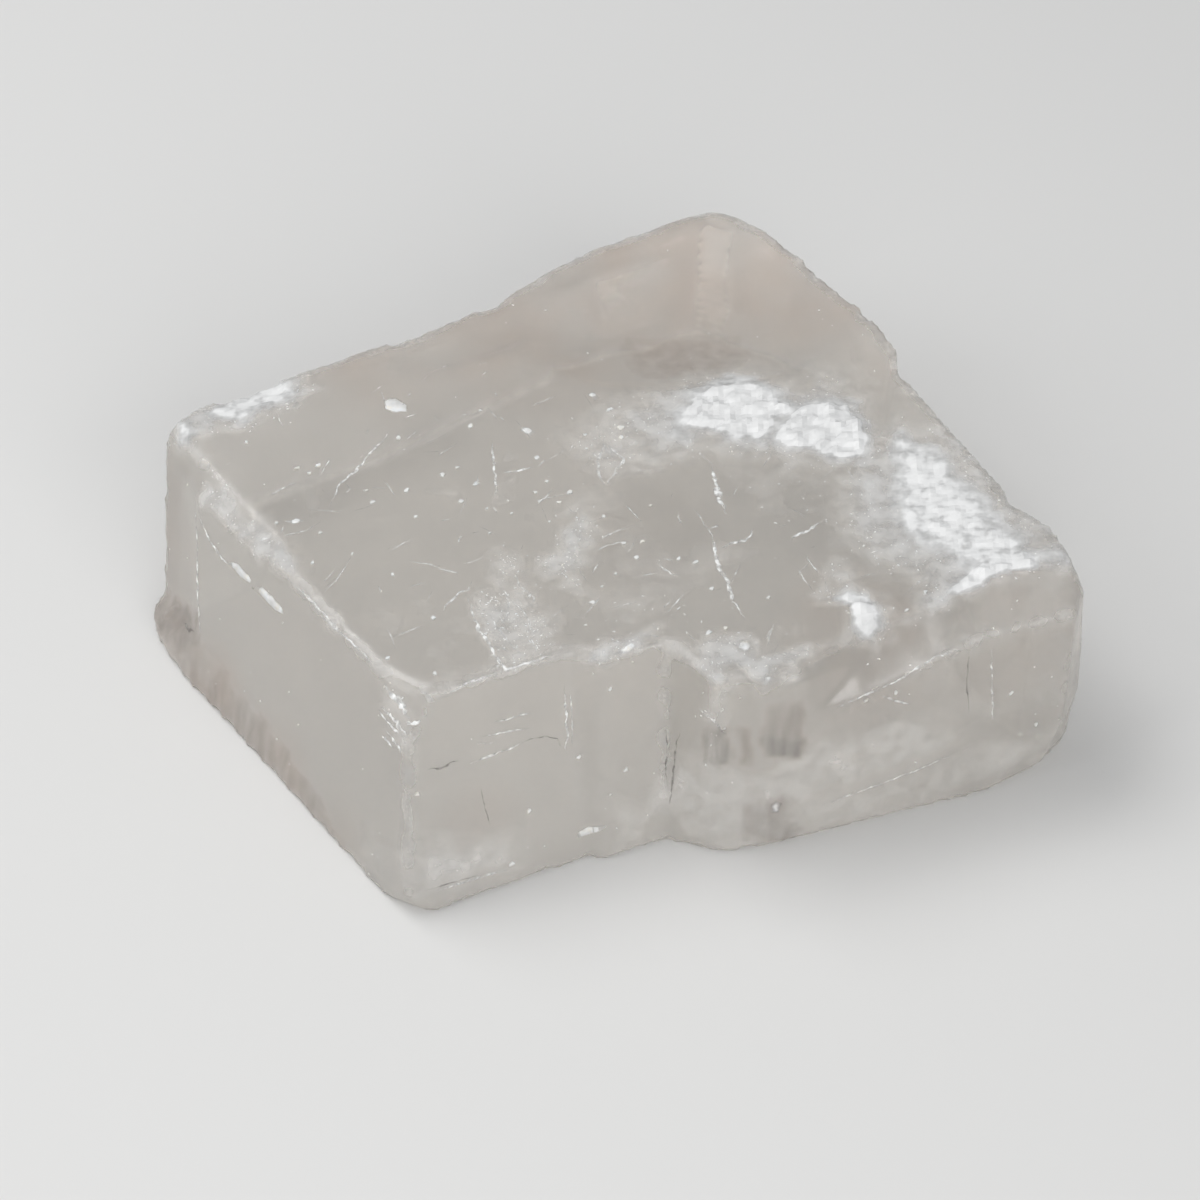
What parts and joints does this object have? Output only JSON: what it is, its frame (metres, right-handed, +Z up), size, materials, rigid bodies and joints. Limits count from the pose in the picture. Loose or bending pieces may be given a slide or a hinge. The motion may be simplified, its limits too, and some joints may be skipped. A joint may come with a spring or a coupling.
{
  "type": "optical calcite cleavage crystal",
  "caption": "Cleaved rhomb-edged slab of clear, slightly milky calcite with a stepped front, worn edges, inner fracture veils and shell-shaped hollows at the back.",
  "frame": {"origin": "middle of the crystal's box, on the flat face it rests on", "axes": "+Z up through the two cleavage faces, +X along the longest extent towards the sloping right shoulder, -Y towards the stepped front"},
  "size_m": [0.0626, 0.0548, 0.015],
  "materials": {
    "calcite": "clear to slightly milky calcite, warm grey, frosted along worn edges and fractures"
  },
  "bodies": {
    "root": {"calcite_crystal": "calcite"}
  },
  "joints": []
}
